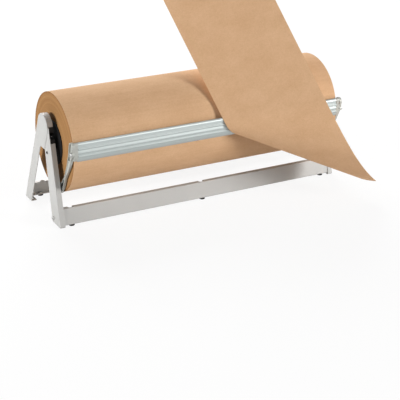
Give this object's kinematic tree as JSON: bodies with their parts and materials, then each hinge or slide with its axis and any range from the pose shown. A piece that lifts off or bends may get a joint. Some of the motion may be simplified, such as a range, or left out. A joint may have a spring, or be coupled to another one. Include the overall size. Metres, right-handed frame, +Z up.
{
  "type": "gift wrap paper cutter",
  "caption": "Counter-top roll paper cutter: folded steel end frames on rails hold a wide kraft paper roll on a shaft, and a sprung ribbed knife bar tears off the sheet.",
  "frame": {"origin": "middle of the four counter screw holes, on the plane that the cutter stands on", "axes": "+X along the roll to the right seen from the knife side, -Y towards the user at the knife, +Z up"},
  "size_m": [0.6569, 0.3571, 0.532],
  "materials": {
    "frame_paint": "satin light warm gray powder coat",
    "arm_casting": "dull gray zinc casting",
    "bar_aluminium": "satin anodised extrusion",
    "blade_steel": "ground strip",
    "shaft_steel": "drawn bar",
    "zinc_steel": "zinc plated",
    "black_steel": "black oxide",
    "spring_steel": "oiled spring wire",
    "black_plastic": "moulded nylon",
    "foot_rubber": "moulded rubber",
    "kraft_paper": "uncoated brown kraft paper",
    "core_cardboard": "spiral wound gray-brown board"
  },
  "bodies": {
    "frame": {"left_rear_leg": "frame_paint", "right_rear_leg": "frame_paint", "left_front_leg": "frame_paint", "right_front_leg": "frame_paint", "front_rail": "frame_paint", "rear_rail": "frame_paint", "front_rubber_feet": "foot_rubber", "rear_rubber_feet": "foot_rubber", "foot_screws": "zinc_steel", "rail_screws": "zinc_steel", "rail_nuts": "zinc_steel", "left_shaft_bearing": "black_plastic", "right_shaft_bearing": "black_plastic", "bearing_screws": "black_steel", "left_pivot_rivet": "zinc_steel", "right_pivot_rivet": "zinc_steel", "left_torsion_spring": "spring_steel", "right_torsion_spring": "spring_steel"},
    "knife": {"knife_bar": "bar_aluminium", "cutting_blade": "blade_steel", "left_knife_arm": "arm_casting", "right_knife_arm": "arm_casting", "knife_screws": "zinc_steel", "paper_sheet": "kraft_paper"},
    "roll": {"paper_roll": "kraft_paper", "roll_core": "core_cardboard", "left_core_plug": "black_plastic", "right_core_plug": "black_plastic", "plug_set_screws": "zinc_steel", "roll_shaft": "shaft_steel"}
  },
  "joints": [
    {"name": "knife_swing", "type": "hinge", "parent": "frame", "child": "knife", "pos_m": [0, -0.059, 0.072], "axis": [1, 0, 0], "range_deg": [0, 50], "stiffness_Nm_per_rad": 1.2, "springref_deg": -57.3, "deforming": ["left_torsion_spring", "right_torsion_spring"]},
    {"name": "roll_spin", "type": "hinge", "parent": "frame", "child": "roll", "pos_m": [0, -0.021, 0.158], "axis": [1, 0, 0], "continuous": true}
  ]
}
